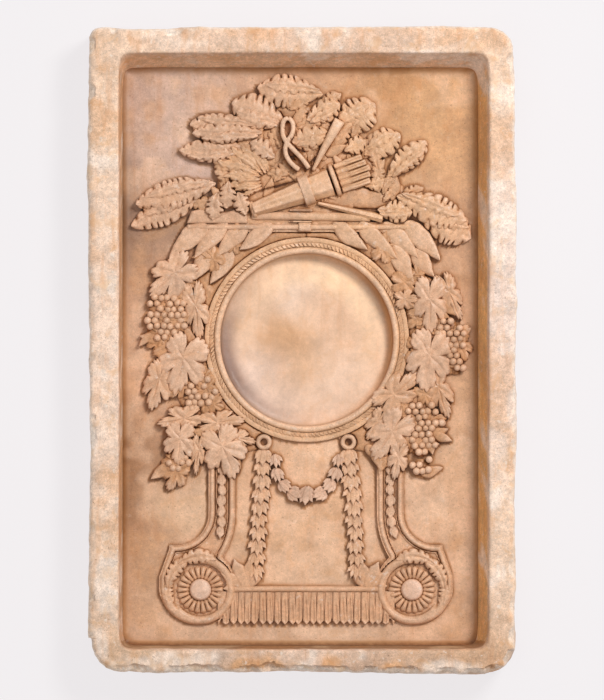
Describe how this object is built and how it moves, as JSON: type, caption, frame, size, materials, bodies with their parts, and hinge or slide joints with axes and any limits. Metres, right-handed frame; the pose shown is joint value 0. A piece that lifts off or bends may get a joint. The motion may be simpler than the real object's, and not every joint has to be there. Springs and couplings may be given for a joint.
{
  "type": "plaster relief mould",
  "caption": "Shallow plaster tray mould with a raised neoclassical clock-front relief: dial recess, oak and vine garlands, trophy, scroll brackets and tongued plinth.",
  "frame": {"origin": "middle of the flat back, on the plane that the mould lies on", "axes": "+Z out of the moulded face, +Y to the top of the ornament, +X to the right as the face is seen"},
  "size_m": [0.622, 0.94, 0.088],
  "materials": {
    "rim_plaster": "matte",
    "floor_plaster": "satin",
    "dial_plaster": "satin",
    "relief_plaster": "satin",
    "bed_plaster": "satin",
    "lath_wood": "matte"
  },
  "bodies": {
    "root": {"floor_slab": "floor_plaster", "rim_left": "rim_plaster", "rim_right": "rim_plaster", "rim_top": "rim_plaster", "rim_bottom": "rim_plaster", "dial_floor": "dial_plaster", "bezel": "relief_plaster", "bezel_leaf_tips": "relief_plaster", "crossbar": "relief_plaster", "crossbar_clip": "relief_plaster", "crossbar_end": "relief_plaster", "staff": "relief_plaster", "torch": "relief_plaster", "torch_flame": "relief_plaster", "quiver": "relief_plaster", "quiver_band": "relief_plaster", "arrows": "relief_plaster", "ribbon_band": "relief_plaster", "ribbon_knot": "relief_plaster", "ribbon_loop": "relief_plaster", "spray_stem": "relief_plaster", "oak_bed": "bed_plaster", "oak_leaves_back": "relief_plaster", "oak_leaves_front": "relief_plaster", "oak_sprig": "relief_plaster", "laurel_upper_left": "relief_plaster", "laurel_upper_right": "relief_plaster", "laurel_lower_left": "relief_plaster", "laurel_lower_right": "relief_plaster", "garland_bed_left": "bed_plaster", "garland_bed_right": "bed_plaster", "vine_back_left": "relief_plaster", "vine_back_right": "relief_plaster", "vine_front_left": "relief_plaster", "vine_front_right": "relief_plaster", "grapes_upper_left": "relief_plaster", "grapes_lower_left": "relief_plaster", "grapes_upper_right": "relief_plaster", "grapes_lower_right": "relief_plaster", "grapes_foot_left": "relief_plaster", "grapes_foot_right": "relief_plaster", "ring_left": "relief_plaster", "ring_right": "relief_plaster", "drop_left": "relief_plaster", "drop_right": "relief_plaster", "swag": "relief_plaster", "scroll_left": "relief_plaster", "scroll_right": "relief_plaster", "scroll_chain_left": "relief_plaster", "scroll_chain_right": "relief_plaster", "rosette_left": "relief_plaster", "rosette_right": "relief_plaster", "corner_leaf_left": "relief_plaster", "corner_leaf_right": "relief_plaster", "plinth_rail": "relief_plaster", "plinth_tongues": "relief_plaster", "laths_long": "lath_wood", "laths_cross": "lath_wood"}
  },
  "joints": []
}
